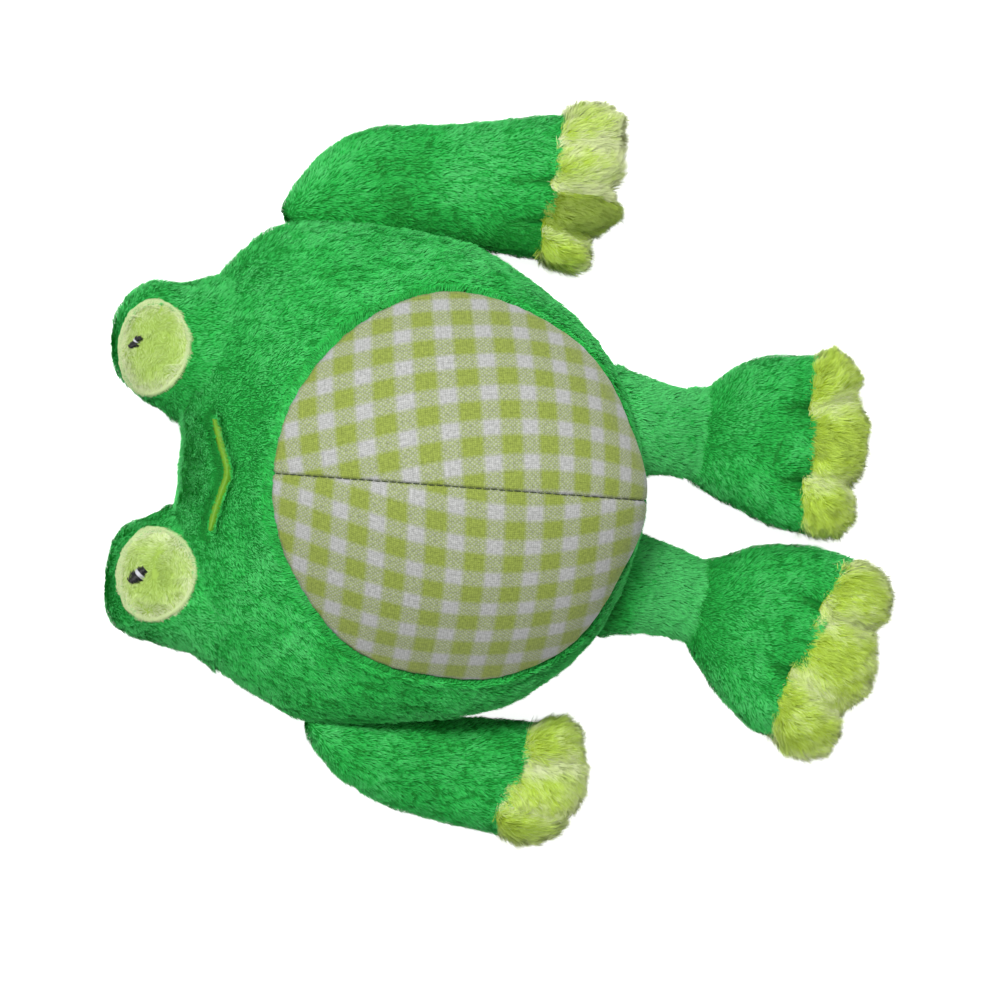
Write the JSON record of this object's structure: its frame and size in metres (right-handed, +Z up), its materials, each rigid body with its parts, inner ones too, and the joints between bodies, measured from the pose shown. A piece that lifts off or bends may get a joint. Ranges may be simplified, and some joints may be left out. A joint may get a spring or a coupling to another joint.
{
  "type": "plush frog",
  "caption": "Stuffed plush frog lying on its back, with a domed check cotton belly, a wide head with eye lobes, long-furred hands and toes, and arms, legs and feet that swing",
  "frame": {"origin": "centre of the flat on the frog's back that it rests on", "axes": "+X towards the feet, +Y towards the frog's left side, +Z up through the belly"},
  "size_m": [0.2557, 0.24, 0.1],
  "materials": {
    "green_plush": "short green minky plush with a directional pile",
    "lime_plush": "lime plush, long and shaggy on hands and toes, short on the eye discs",
    "check_cotton": "woven cotton in a lime and white quarter-inch check",
    "lime_stitch": "glossy lime satin stitch",
    "black_stitch": "black satin stitch",
    "stuffing": "white polyester fibre filling"
  },
  "bodies": {
    "body": {"front_panel": "green_plush", "back_panel_left": "green_plush", "back_panel_right": "green_plush", "belly_gore_left": "check_cotton", "belly_gore_right": "check_cotton", "body_stuffing": "stuffing", "mouth": "lime_stitch", "eye_cover_left": "green_plush", "eye_cover_right": "green_plush", "eye_stuffing_left": "stuffing", "eye_stuffing_right": "stuffing", "eye_disc_left": "lime_plush", "eye_disc_right": "lime_plush", "eye_border_left": "lime_stitch", "eye_border_right": "lime_stitch", "pupil_left": "black_stitch", "pupil_right": "black_stitch"},
    "arm_left": {"arm_cover_left": "green_plush", "arm_stuffing_left": "stuffing", "hand_end_left": "lime_plush"},
    "arm_right": {"arm_cover_right": "green_plush", "arm_stuffing_right": "stuffing", "hand_end_right": "lime_plush"},
    "leg_left": {"leg_cover_left": "green_plush", "leg_stuffing_left": "stuffing"},
    "leg_right": {"leg_cover_right": "green_plush", "leg_stuffing_right": "stuffing"},
    "foot_left": {"foot_cover_left": "green_plush", "foot_stuffing_left": "stuffing", "toe_end_left": "lime_plush"},
    "foot_right": {"foot_cover_right": "green_plush", "foot_stuffing_right": "stuffing", "toe_end_right": "lime_plush"}
  },
  "joints": [
    {"name": "shoulder_left", "type": "hinge", "parent": "body", "child": "arm_left", "pos_m": [-0.05312, 0.08739, 0.038], "axis": [0, 0, 1], "range_deg": [0, 100]},
    {"name": "shoulder_right", "type": "hinge", "parent": "body", "child": "arm_right", "pos_m": [-0.03375, -0.08439, 0.038], "axis": [0, 0, -1], "range_deg": [0, 100]},
    {"name": "hip_left", "type": "hinge", "parent": "body", "child": "leg_left", "pos_m": [0.05898, 0.02581, 0.02969], "axis": [0, -1, 0], "range_deg": [-15, 45]},
    {"name": "hip_right", "type": "hinge", "parent": "body", "child": "leg_right", "pos_m": [0.05805, -0.02848, 0.02984], "axis": [0, -1, 0], "range_deg": [-15, 45]},
    {"name": "ankle_left", "type": "hinge", "parent": "leg_left", "child": "foot_left", "pos_m": [0.0775, 0.0225, 0.013], "axis": [-0.0349, -0.9994, 0], "range_deg": [-15, 30]},
    {"name": "ankle_right", "type": "hinge", "parent": "leg_right", "child": "foot_right", "pos_m": [0.08, -0.0305, 0.013], "axis": [-0.3256, -0.9455, 0], "range_deg": [-15, 30]}
  ]
}
